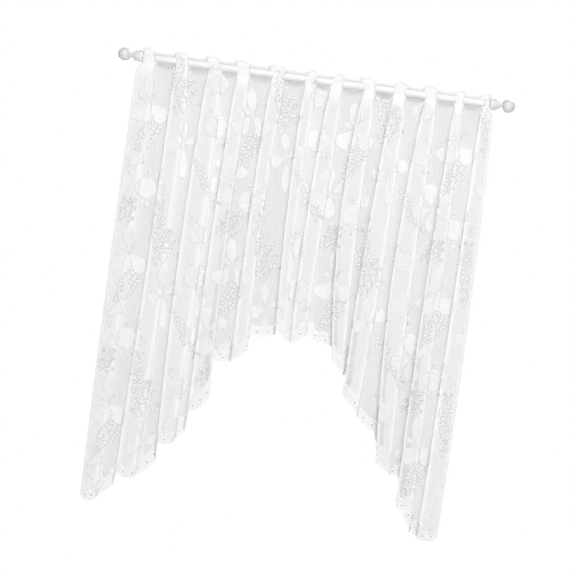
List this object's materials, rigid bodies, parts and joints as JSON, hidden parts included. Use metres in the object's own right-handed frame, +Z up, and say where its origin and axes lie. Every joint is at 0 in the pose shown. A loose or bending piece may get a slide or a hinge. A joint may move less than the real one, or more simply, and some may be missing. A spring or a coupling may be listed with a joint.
{
  "type": "embroidered lace curtain on a rod",
  "caption": "Sheer lace curtain with butterfly and flower embroidery, an arched scalloped hem and a slotted heading, hung on a slim rod with ball ends.",
  "frame": {"origin": "on the rod's axis, half way along the rod", "axes": "+X along the rod to the viewer's right, +Y away from the viewer towards what the rod is fixed to, +Z up, against the cloth's fall"},
  "size_m": [0.8196, 0.0269, 0.9332],
  "materials": {
    "lace_cloth": "sheer white polyester net with denser embroidered motifs and a dense border",
    "rod": "smooth white paint, half gloss",
    "end_caps": "pale grey-white paint, half gloss",
    "ball_ends": "pale silver-grey paint, half gloss"
  },
  "bodies": {
    "root": {"curtain": "lace_cloth", "rod": "rod", "cap_left": "end_caps", "cap_right": "end_caps", "ball_left": "ball_ends", "ball_right": "ball_ends"}
  },
  "joints": []
}
